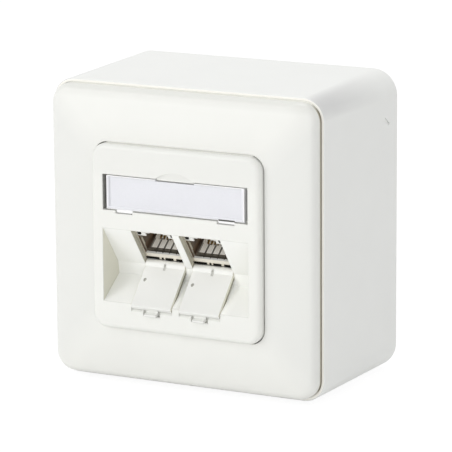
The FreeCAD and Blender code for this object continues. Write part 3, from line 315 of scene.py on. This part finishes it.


# The cover frame: the domed square that snaps over the box's rim. It is moulded in a warmer
# white than the box, and has the highest polish of the set. Its side facets and a band along its
# top edge are painted darker as shade. Its outer wall next to the rim carries painted shade,
# brown at the sides and darker at the top and bottom, where a painted glow lies right at the rim.
FRAME_WHITE = (0.835, 0.837, 0.800)
FRAME_SIDE_SHADE = (0.788, 0.792, 0.762)
FRAME_EDGE_SHADE = (0.740, 0.742, 0.705)
SEAM_SHADE = (0.420, 0.385, 0.310)
SEAM_PAINTED_LIGHT = (0.30, 0.30, 0.28)
FRAME_INNER = (33.85 * MM, 34.25 * MM)
FRAME_WALL = 5.12 * MM
SIDE_START = -3.0 * MM
SIDE_FULL = 7.0 * MM
LEDGE_START = 36.4 * MM
LEDGE_FULL = 38.9 * MM
SEAM_TURN_START = -2.5 * MM
SEAM_TURN_END = 1.5 * MM
SEAM_FRONT = -44.2 * MM
SEAM_GLOW_FRONT = -43.6 * MM

look, start = new_finish("frame_plastic")
across, out, rise = start.position()
drift, fine = noise(start, CLOUD_SIZE), noise(start, GRAIN_SIZE, GRAIN_DETAIL)
# Painted shade: the side facets are darker than the top and bottom.
side_shade = ramp(start, across.absolute() - rise.absolute(), SIDE_START, SIDE_FULL)
past_side, past_end, edge_place = past_corner(across, rise, FRAME_INNER)
wall = edge_place.above(FRAME_WALL)
sideways = ramp(start, past_side - past_end, SEAM_TURN_START, SEAM_TURN_END)
# Painted shade on the outer wall next to the rim: brown at the sides.
side_seam = wall * sideways * out.above(SEAM_FRONT)
top_seam = wall * (1.0 - sideways)
tone = tinted(start, side_shade, clouded(start, drift, FRAME_WHITE), FRAME_SIDE_SHADE)
# Painted shade along the band at the top edge, and on the outer wall at the top and bottom.
tone = tinted(start, ramp(start, rise, LEDGE_START, LEDGE_FULL), tone, FRAME_EDGE_SHADE)
tone = tinted(start, top_seam, tone, FRAME_EDGE_SHADE)
# A painted glow on the outer wall at the top and bottom, right at the rim.
glow = tinted(start, top_seam * out.above(SEAM_GLOW_FRONT), BLACK, SEAM_PAINTED_LIGHT)
tone = tinted(start, side_seam, tone, SEAM_SHADE)
plastic(start, tone, drift, fine, roughness=0.29, grain=0.05, glow=glow)
dress(["cover_frame"], look)


# The centre plate: the 50 mm insert with the label field, the scooped recess and the slanted
# face for the two ports, moulded in the same warm white. The recess is painted lighter as painted
# light. Its end walls and the windows' side walls carry painted olive shade, and the label field's
# ends painted dark shade. A painted glow lies in the gap over the top edge and in the shade to the
# right of each flap. A band is its middle and its reach.
PLATE_WHITE = (0.835, 0.838, 0.800)
HEAD_WHITE = (0.806, 0.809, 0.775)
RECESS_PAINTED_LIGHT = (0.930, 0.935, 0.905)
END_WALL_SHADE = (0.730, 0.720, 0.620)
WINDOW_WALL_SHADE = (0.560, 0.540, 0.450)
LABEL_END_SHADE = (0.300, 0.300, 0.280)
TOP_GAP_PAINTED_LIGHT = (0.24, 0.24, 0.23)
BESIDE_FLAP_PAINTED_LIGHT = (0.10, 0.10, 0.095)
HEAD_START = 15.5 * MM
HEAD_FULL = 18.0 * MM
SCOOP_HALF = 21.55 * MM
SCOOP_BAND = (-7.6 * MM, 10.0 * MM)
SCOOP_FRONT = -50.7 * MM
END_WALL = (21.65 * MM, 0.08 * MM)
END_WALL_BAND = (-7.6 * MM, 10.2 * MM)
END_WALL_FRONT = -50.6 * MM
LABEL_END = (21.5 * MM, 0.06 * MM)
LABEL_END_BAND = (12.1 * MM, 4.7 * MM)
LABEL_END_FRONT = -50.5 * MM
WINDOW_WALL = (6.1 * MM, 0.04 * MM)
WINDOW_DEPTH = (0.7 * MM, 2.3 * MM)
WINDOW_BAND = (0.1 * MM, 6.55 * MM)
TOP_GAP_LOW = 24.9 * MM
TOP_GAP_FRONT = -48.9 * MM
FLAP_TOP = -8.5 * MM
FLAP_EDGE = 5.95 * MM
GLOW_FAR = 9.0 * MM
GLOW_NEAR = 6.2 * MM
SOCKET_SPACING = 7.15 * MM
SOCKET_OUT = -45.35 * MM
SOCKET_RISE = -2.20 * MM
SLANT = math.radians(36.87)


def in_socket(start):
    """A place as its own socket sees it: across, inward from the port and up the port's face."""
    across, out, rise = start.position()
    out = out - SOCKET_OUT
    rise = rise - SOCKET_RISE
    across = across - across.sign() * SOCKET_SPACING
    inward = out * math.cos(SLANT) + rise * math.sin(SLANT)
    return across, inward, rise * math.cos(SLANT) - out * math.sin(SLANT)


look, start = new_finish("plate_plastic")
across, out, rise = start.position()
in_window, inward, along_face = in_socket(start)
drift, fine = noise(start, CLOUD_SIZE), noise(start, GRAIN_SIZE, GRAIN_DETAIL)
aside = across.absolute()
scoop = aside.below(SCOOP_HALF) * rise.near(*SCOOP_BAND) * out.above(SCOOP_FRONT)
end_wall = aside.near(*END_WALL) * rise.near(*END_WALL_BAND) * out.above(END_WALL_FRONT)
label_end = aside.near(*LABEL_END) * rise.near(*LABEL_END_BAND) * out.above(LABEL_END_FRONT)
window_wall = in_window.absolute().near(*WINDOW_WALL)
window_wall = window_wall * inward.near(*WINDOW_DEPTH) * along_face.near(*WINDOW_BAND)
tone = clouded(start, drift, PLATE_WHITE)
tone = tinted(start, ramp(start, rise, HEAD_START, HEAD_FULL), tone, HEAD_WHITE)
# The recess is painted lighter as painted light.
tone = tinted(start, scoop, tone, RECESS_PAINTED_LIGHT)
# Painted olive shade on the recess's end walls.
tone = tinted(start, end_wall, tone, END_WALL_SHADE)
# Painted dark shade at the label field's ends.
tone = tinted(start, label_end, tone, LABEL_END_SHADE)
# Painted olive shade on the windows' side walls.
tone = tinted(start, window_wall, tone, WINDOW_WALL_SHADE)
# A painted glow in the gap over the plate's top edge.
top_gap = rise.above(TOP_GAP_LOW) * out.above(TOP_GAP_FRONT)
# A painted glow in the shade to the right of each flap.
past_flap = in_window.above(FLAP_EDGE) * ramp(start, in_window, GLOW_FAR, GLOW_NEAR)
beside_flaps = scoop * rise.below(FLAP_TOP) * past_flap
glow = tinted(start, top_gap, tinted(start, beside_flaps, BLACK, BESIDE_FLAP_PAINTED_LIGHT), TOP_GAP_PAINTED_LIGHT)
plastic(start, tone, drift, fine, roughness=0.33, grain=0.06, glow=glow)
dress(["centre_plate"], look)


# The label cover: a clear pressed sheet with a frosted face, two tabs in its lower edge and two
# slots over them. Its rim is painted bright, a painted highlight for light that enters its face and
# leaves at the rim, and its slots are painted dark as shade.
# Its back is left clear, because the label touches it.
COVER_FACE = (0.832, 0.838, 0.877)
COVER_RIM_HIGHLIGHT = (0.970, 0.970, 0.975)
SLOT_SHADE = (0.10, 0.10, 0.09)
COVER_HALF = 20.4 * MM
COVER_LOW = 7.45 * MM
COVER_HIGH = 16.65 * MM
COVER_RIM = 0.24 * MM
PAPER_HALF = 19.7 * MM
PAPER_LOW = 8.3 * MM
SLOT_PLACE = (15.2 * MM, 2.4 * MM)
SLOT_BAND = (7.62 * MM, 0.25 * MM)
SCUFF_SIZE = 0.6 * MM
COVER_VEIL = 0.66
BORDER_VEIL = 0.92

look, start = new_finish("clear_sheet")
scuffs = noise(start, SCUFF_SIZE, 4.0)
across, _, rise = start.position()
aside = across.absolute()
ends = rise.below(COVER_LOW + COVER_RIM).either(rise.above(COVER_HIGH - COVER_RIM))
rim = aside.above(COVER_HALF - COVER_RIM).either(ends)
border = aside.above(PAPER_HALF).either(rise.below(PAPER_LOW))
# The slots are painted dark as shade.
slot = across.near(*SLOT_PLACE) * rise.near(*SLOT_BAND)
behind = start.node("ShaderNodeNewGeometry", output="Backfacing")
veil = (COVER_VEIL + scuffs * 0.04).either(rim).either(border * BORDER_VEIL).either(slot)
# The rim is painted bright as a painted highlight.
sheet = start.node("ShaderNodeBsdfPrincipled", None, {
    "Base Color": tinted(start, slot, tinted(start, rim, COVER_FACE, COVER_RIM_HIGHLIGHT), SLOT_SHADE),
    "Roughness": 0.14 + scuffs * 0.12,
    "Alpha": veil * (1.0 - behind),
    "IOR": PLASTIC_IOR,
    "Normal": soft_edges(start, EDGE_RADIUS)})
lit_through = start.node("ShaderNodeLightPath", output="Is Shadow Ray").either(
    start.node("ShaderNodeLightPath", output="Is Diffuse Ray")) * (1.0 - rim)
clear = start.node("ShaderNodeBsdfTransparent")
start.node("ShaderNodeOutputMaterial", None, {
    "Surface": start.node("ShaderNodeMixShader", None, {0: lit_through, 1: sheet, 2: clear})})
dress(["label_window"], look)


# The label: a blank slip of bluish white card, cut to size, that lies behind the clear cover
# and is held by it.
LABEL_WHITE = (0.855, 0.860, 0.897)
LABEL_DARKER = 0.985
LABEL_LIGHTER = 1.012
FIBRE_SIZE = 0.25 * MM
FIBRE_DEPTH = 0.015 * MM
PULP_SIZE = 2.5 * MM

look, start = new_finish("label_card")
fibres = noise(start, FIBRE_SIZE, 5.0, (1.0, 1.0, 0.3))
pulp = noise(start, PULP_SIZE, 3.0)
finish_with(start, {
    "Base Color": tinted(start, pulp * 0.6 + fibres * 0.4,
                         scaled(LABEL_WHITE, LABEL_DARKER), scaled(LABEL_WHITE, LABEL_LIGHTER)),
    "Roughness": 0.82 + fibres * 0.12,
    "Normal": start.node("ShaderNodeBump", None, {
        "Strength": 0.25, "Distance": FIBRE_DEPTH, "Height": fibres})})
dress(["label_strip"], look)


# The screws: zinc plated steel, turned and with pressed cross slots. Two hold the plate, two the
# support frame, and two small ones the module carrier.
ZINC = (0.64, 0.66, 0.69)
ZINC_GRAIN = 0.15 * MM
LINES_DETAIL = 4.0
LINES_SHARE = 0.3
LINES_ROUGHNESS = 0.06
BLOOM_SIZE = 3.0 * MM
BLOOM_DETAIL = 3.0
BLOOM_SHARE = 0.7
BLOOM_ROUGHNESS = 0.12
METAL_EDGE = 0.08 * MM
METAL_BUMP = 0.12


def worn(start, bloom, lines, colour, dull):
    return tinted(start, bloom * BLOOM_SHARE + lines * LINES_SHARE, scaled(colour, 1.0 - dull), colour)


def metal(name, colour, roughness, grain_size, stretch=(1.0, 1.0, 1.0), dull=0.10, edge=METAL_EDGE):
    look, start = new_finish(name)
    lines = noise(start, grain_size, LINES_DETAIL, stretch)
    bloom = noise(start, BLOOM_SIZE, BLOOM_DETAIL)
    finish_with(start, {
        "Base Color": worn(start, bloom, lines, colour, dull),
        "Metallic": 1.0,
        "Roughness": roughness + bloom * BLOOM_ROUGHNESS + lines * LINES_ROUGHNESS,
        "Normal": bumped(start, lines, METAL_BUMP, edge)})
    return look


dress(["plate_screws", "box_screws", "carrier_screws"],
      metal("zinc_plate", ZINC, roughness=0.26, grain_size=ZINC_GRAIN))


# The support frame: a ring pressed from galvanised sheet steel, which lies on the box's screw
# towers and carries the carrier and the plate.
GALVANISED = (0.66, 0.68, 0.70)
SPANGLE_SIZE = 0.5 * MM
SPANGLE_STRETCH = (1.0, 1.0, 0.1)

look = metal("galvanised_sheet", GALVANISED, 0.32, SPANGLE_SIZE, SPANGLE_STRETCH)
dress(["support_frame"], look)


# The module carrier: a bracket folded from bright sheet steel, with the slanted face that both
# sockets clip into.
CARRIER_STEEL = (0.68, 0.68, 0.67)
ROLLING_SIZE = 0.4 * MM
ROLLING_STRETCH = (0.1, 1.0, 1.0)

look = metal("carrier_sheet", CARRIER_STEEL, 0.30, ROLLING_SIZE, ROLLING_STRETCH)
dress(["module_carrier"], look)


# The two sockets have the same pieces on the left and the right, so each of the next sections
# dresses both. The housing is a zinc die casting with a nickel finish, and clips into the carrier.
NICKEL = (0.74, 0.71, 0.66)
HOUSING_EDGE_HIGHLIGHT = (0.90, 0.86, 0.76)
SHELL_INSIDE_SHADE = (0.300, 0.215, 0.150)
GAP_SHADE = (0.012, 0.010, 0.008)
CAST_SIZE = 0.25 * MM
STREAK_SIZE = 1.2 * MM
INSIDE_HALF = 6.0 * MM
INSIDE_TALL = 5.6 * MM
INSIDE_DEPTH = (3.6 * MM, 3.45 * MM)
SHELL_FRONT = 0.15 * MM
SHELL_EDGE = (1.05 * MM, 0.32 * MM)
SIDE_RISE = (-1.3 * MM, 3.7 * MM)
SHELL_GAP_TOP = -5.3 * MM
FEET = ((-1.9 * MM, 0.35 * MM), (-0.7 * MM, 0.25 * MM), (2.4 * MM, 0.40 * MM))


def pair(name):
    return ["left_" + name, "right_" + name]


def feet(across):
    first, second, third = [across.near(*foot) for foot in FEET]
    return first.either(second).either(third)


look, start = new_finish("nickel_casting")
across, inward, rise = in_socket(start)
lines = noise(start, CAST_SIZE, LINES_DETAIL)
bloom = noise(start, BLOOM_SIZE, BLOOM_DETAIL)
streaks = noise(start, STREAK_SIZE, 3.0, (1.0, 0.15, 1.0))
# The cavity walls are painted dark as shade.
inside = across.absolute().below(INSIDE_HALF) * rise.absolute().below(INSIDE_TALL)
inside = inside * inward.near(*INSIDE_DEPTH)
front = inward.below(SHELL_FRONT)
# A painted highlight on the front face and along the cavity's edge.
edge_highlight = inside * inward.near(*SHELL_EDGE) * rise.near(*SIDE_RISE)
# The gap under the front is painted near black as shade, apart from the contact feet.
low_gap = front * rise.below(SHELL_GAP_TOP) * (1.0 - feet(across))
tone = worn(start, bloom, lines, NICKEL, dull=0.10)
tone = tinted(start, inside, tone, SHELL_INSIDE_SHADE)
tone = tinted(start, front.either(edge_highlight), tone, HOUSING_EDGE_HIGHLIGHT)
finish_with(start, {
    "Base Color": tinted(start, low_gap, tone, GAP_SHADE),
    "Metallic": 0.85,
    "Roughness": 0.30 + bloom * BLOOM_ROUGHNESS + lines * LINES_ROUGHNESS + streaks * 0.10,
    "Normal": bumped(start, lines, METAL_BUMP, METAL_EDGE)})
dress(pair("jack_housing"), look)


# The socket insert: a pale moulding with the plug's cavity. Its floor is a comb for the contact
# wires, with a metal shelf in front. Its two eyes, the openings to them and its lower slot, which
# open into the shell, are painted near black as shade; the comb's grooves, the trench behind the
# shelf, the cavity's roof and the low part of its left wall are painted dark as shade; and the
# comb floor has a painted glow.
INSERT_PALE = (0.900, 0.900, 0.870)
SHELF_CREAM = (0.840, 0.800, 0.700)
GROOVE_SHADE = (0.150, 0.135, 0.105)
RAIL_SHADE = (0.170, 0.130, 0.095)
ROOF_SHADE = (0.100, 0.085, 0.055)
COMB_PAINTED_LIGHT = (0.150, 0.132, 0.105)
INSERT_CLOUD_SIZE = 3.0 * MM
INSERT_EDGE = 0.08 * MM
INSERT_FRONT = 0.25 * MM
SHELF_TOP = -3.96 * MM
TRENCH_DEPTH = (1.45 * MM, 0.62 * MM)
TRENCH_TOP = -3.72 * MM
TRENCH_START = -5.3 * MM
RAIL_START = 0.9 * MM
RAIL_SIDE = -5.2 * MM
COMB_OFFSET = 3.047 * MM
COMB_PITCH = 1.016 * MM
GROOVE_HALF = 0.27 * MM
GROOVE_DEPTH = (3.4 * MM, 2.0 * MM)
ROOF_START = 0.45 * MM
ROOF_LOW = 2.9 * MM
EYE_PLACE = (5.0 * MM, 0.47 * MM)
EYE_BAND = (4.3 * MM, 0.62 * MM)
EYE_START = 0.22 * MM
LEFT_MOUTH = (-5.3 * MM, 0.45 * MM)
RIGHT_MOUTH = (4.6 * MM, 0.46 * MM)
MOUTH_BAND = (4.05 * MM, 0.62 * MM)
INSERT_GAP_TOP = -5.30 * MM
COMB_START = 2.05 * MM
COMB_FLOOR = (-3.75 * MM, 0.06 * MM)

look, start = new_finish("insert_plastic")
across, inward, rise = in_socket(start)
drift, fine = noise(start, INSERT_CLOUD_SIZE), noise(start, GRAIN_SIZE, GRAIN_DETAIL)
front = inward.below(INSERT_FRONT)
shelf = front * rise.below(SHELF_TOP)
# Painted shade in the trench behind the shelf and in the comb's grooves.
trench = inward.near(*TRENCH_DEPTH) * rise.below(TRENCH_TOP) * across.above(TRENCH_START)
# Painted shade on the low part of the cavity's left wall.
rail = inward.above(RAIL_START) * across.below(RAIL_SIDE) * rise.below(0.0)
to_groove = (across + COMB_OFFSET).folded(COMB_PITCH)
grooves = inward.near(*GROOVE_DEPTH) * rise.below(TRENCH_TOP) * to_groove.below(GROOVE_HALF)
# Painted shade on the cavity's roof.
roof = inward.above(ROOF_START) * rise.above(ROOF_LOW)
# The eyes, the openings to them and the gap under the front are painted near black as shade.
eyes = across.absolute().near(*EYE_PLACE) * rise.near(*EYE_BAND) * inward.above(EYE_START)
mouths = across.near(*LEFT_MOUTH).either(across.near(*RIGHT_MOUTH))
mouths = mouths * rise.near(*MOUTH_BAND) * front
low_gap = front * rise.below(INSERT_GAP_TOP) * (1.0 - feet(across))
tone = tinted(start, drift, scaled(INSERT_PALE, 0.97), INSERT_PALE)
tone = tinted(start, shelf, tone, SHELF_CREAM)
tone = tinted(start, roof, tone, ROOF_SHADE)
tone = tinted(start, rail, tone, RAIL_SHADE)
tone = tinted(start, trench.either(grooves * 0.75), tone, GROOVE_SHADE)
tone = tinted(start, eyes.either(mouths).either(low_gap), tone, GAP_SHADE)
# A painted glow on the comb floor.
comb = inward.above(COMB_START) * rise.near(*COMB_FLOOR) * (1.0 - rail) * (1.0 - grooves * 0.7)
glow = tinted(start, comb, BLACK, COMB_PAINTED_LIGHT)
plastic(start, tone, drift, fine, roughness=0.34, grain=0.08, edge=INSERT_EDGE, glow=glow)
dress(pair("jack_insert"), look)


# The contact wires: eight spring wires a socket, bent from bronze, set into the insert's comb and
# gold plated where the plug touches them.
GOLD = (0.83, 0.58, 0.24)
WIRE_GRAIN = 0.08 * MM
FINE_EDGE = 0.04 * MM
dress(pair("contact_wires"),
      metal("gold_plate", GOLD, roughness=0.22, grain_size=WIRE_GRAIN, dull=0.14, edge=FINE_EDGE))


# The circuit board: glass fibre board behind the insert, green under its solder mask, which joins
# the contact wires to the terminal blades.
BOARD_DARK = (0.010, 0.085, 0.030)
BOARD_GREEN = (0.020, 0.130, 0.050)
WEAVE_SIZE = 0.35 * MM
BOARD_EDGE = 0.05 * MM

look, start = new_finish("solder_mask")
weave = noise(start, WEAVE_SIZE, 2.0, (1.0, 0.4, 1.0))
finish_with(start, {
    "Base Color": tinted(start, weave, BOARD_DARK, BOARD_GREEN),
    "Roughness": 0.25 + weave * 0.15,
    "Coat Weight": 0.3 + weave * 0.1,
    "Normal": soft_edges(start, BOARD_EDGE)})
dress(pair("circuit_board"), look)


# The terminal block: a pale moulding behind the board, with the slots that hold the eight cutting
# terminals.
BLOCK_GREY = (0.62, 0.61, 0.57)


def moulded(name, colour, roughness):
    look, start = new_finish(name)
    drift, fine = noise(start, CLOUD_SIZE), noise(start, GRAIN_SIZE, GRAIN_DETAIL)
    plastic(start, clouded(start, drift, colour), drift, fine, roughness, grain=0.10)
    return look


dress(pair("terminal_block"), moulded("terminal_plastic", BLOCK_GREY, roughness=0.41))


# The terminal blades: forked bronze strips with a bright tin coat, which cut through a wire's
# insulation and grip it.
TIN = (0.72, 0.70, 0.66)
TIN_GRAIN = 0.10 * MM
dress(pair("terminal_blades"),
      metal("tin_plate", TIN, roughness=0.28, grain_size=TIN_GRAIN, edge=FINE_EDGE))


# The wire cap: the moulded cap that presses the eight wires into the blades, snaps on and closes
# the shell.
CAP_GREY = (0.70, 0.70, 0.67)
dress(pair("wire_cap"), moulded("cap_plastic", CAP_GREY, roughness=0.39))


# The shield springs: thin bronze leaves on the cavity's side walls, plated, which touch the screen
# of a plug. Their dark brown is a painted reflection of the dark cavity, and their front edge
# carries a painted highlight.
SPRING_DARK_REFLECTION = (0.330, 0.270, 0.215)
SPRING_EDGE_HIGHLIGHT = (0.900, 0.860, 0.760)
SMEAR_SIZE = 1.5 * MM
LEAF_EDGE = (0.95 * MM, 0.35 * MM)

look, start = new_finish("spring_leaf")
_, inward, rise = in_socket(start)
smears = noise(start, SMEAR_SIZE, 4.0, (1.0, 0.5, 0.2))
# A painted highlight along the front edge.
edge_highlight = inward.near(*LEAF_EDGE) * rise.near(*SIDE_RISE)
# The dark brown is a painted reflection of the dark cavity.
tone = tinted(start, smears, scaled(SPRING_DARK_REFLECTION, 0.45), SPRING_DARK_REFLECTION)
finish_with(start, {
    "Base Color": tinted(start, edge_highlight, tone, SPRING_EDGE_HIGHLIGHT),
    "Metallic": 0.8,
    "Roughness": 0.28 + smears * 0.20,
    "Normal": soft_edges(start, FINE_EDGE)})
dress(pair("shield_springs"), look)


# The dust flaps: thin white mouldings, one a port, which turn down out of the window on two pins.
# Each has a shallow ejector mark and a slot over its knuckle. Its sides are painted cream as
# shade, with a dark line of painted shade where they meet the recess, and its face is painted
# lighter towards the hinge as painted light.
FLAP_WHITE = (0.845, 0.848, 0.815)
FLAP_ROOT_LIGHT = (0.935, 0.938, 0.905)
FLAP_SIDE_SHADE = (0.800, 0.790, 0.690)
FLAP_GAP_SHADE = (0.280, 0.265, 0.200)
FLAP_MARK = (0.540, 0.535, 0.490)
SIDE_PLACE = 5.93 * MM
FACE_OUT = 0.73
FACE_RISE = 0.68
FACE_LEVEL = 25.48 * MM
LINE_DEPTH = 0.80 * MM
DOT_ACROSS = -4.62 * MM
DOT_RISE = -11.92 * MM
DOT_RADIUS = 0.40 * MM
DOT_FACE = -7.8 * MM
SLOT_ACROSS = (0.0, 0.36 * MM)
SLOT_RISE = (-8.85 * MM, 0.62 * MM)
ROOT_LOW = -17.0 * MM
ROOT_HIGH = -9.0 * MM
FLAP_EDGE_RADIUS = 0.30 * MM

look, start = new_finish("flap_plastic")
across, _, rise = in_socket(start)
_, out, height = start.position()
drift, fine = noise(start, CLOUD_SIZE), noise(start, GRAIN_SIZE, GRAIN_DETAIL)
# The sides are painted cream as shade.
side = across.absolute().above(SIDE_PLACE)
# A dark line of painted shade where the sides meet the recess.
line = side * (FACE_LEVEL + out * FACE_OUT - height * FACE_RISE).above(LINE_DEPTH)
beside, over = across - DOT_ACROSS, height - DOT_RISE
dot = (beside * beside + over * over).below(DOT_RADIUS * DOT_RADIUS) * rise.above(DOT_FACE)
slot = across.near(*SLOT_ACROSS) * height.near(*SLOT_RISE)
# The face is painted lighter towards the hinge as painted light.
root = ramp(start, height, ROOT_LOW, ROOT_HIGH)
tone = tinted(start, root * 0.9 + drift * 0.1, FLAP_WHITE, FLAP_ROOT_LIGHT)
tone = tinted(start, dot.either(slot * 0.6), tone, FLAP_MARK)
tone = tinted(start, line, tinted(start, side, tone, FLAP_SIDE_SHADE), FLAP_GAP_SHADE)
plastic(start, tone, drift, fine, roughness=0.35, grain=0.06, edge=FLAP_EDGE_RADIUS)
dress(pair("dust_flap"), look)
